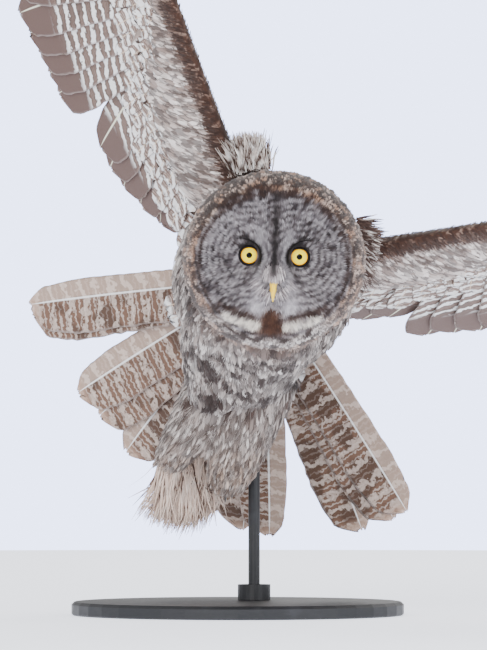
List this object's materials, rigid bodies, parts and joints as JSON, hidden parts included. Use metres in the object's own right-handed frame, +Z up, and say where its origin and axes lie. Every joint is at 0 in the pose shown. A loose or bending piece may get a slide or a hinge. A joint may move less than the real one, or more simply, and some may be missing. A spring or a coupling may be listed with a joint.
{
  "type": "great grey owl in flight on a display stand",
  "caption": "Life-size still model of a great grey owl banking in flight with its wings and tail spread, held up by one rod on a plain round base.",
  "frame": {"origin": "centre of the underside of the stand's base", "axes": "+Z up, the owl faces -Y, +X towards its left"},
  "size_m": [1.204, 0.5535, 0.9961],
  "materials": {
    "plumage": "soft mottled grey and brown body feathers",
    "flight_feathers": "barred flight feathers, matt",
    "eye": "wet, clear and glossy",
    "bill": "smooth horn, satin",
    "claw": "dark polished horn",
    "stand": "satin black powder coat"
  },
  "bodies": {
    "root": {"head": "plumage", "neck": "plumage", "torso": "plumage", "wing_right": "flight_feathers", "wing_left": "flight_feathers", "tail": "flight_feathers", "leg_right": "plumage", "leg_left": "plumage", "foot_right": "plumage", "foot_left": "plumage", "talon_right_1": "claw", "talon_right_2": "claw", "talon_right_3": "claw", "talon_right_4": "claw", "talon_left_1": "claw", "talon_left_2": "claw", "talon_left_3": "claw", "talon_left_4": "claw", "eye_right": "eye", "eye_left": "eye", "bill_upper": "bill", "bill_lower": "bill", "stand_base": "stand", "stand_rod": "stand", "stand_collar": "stand"}
  },
  "joints": []
}
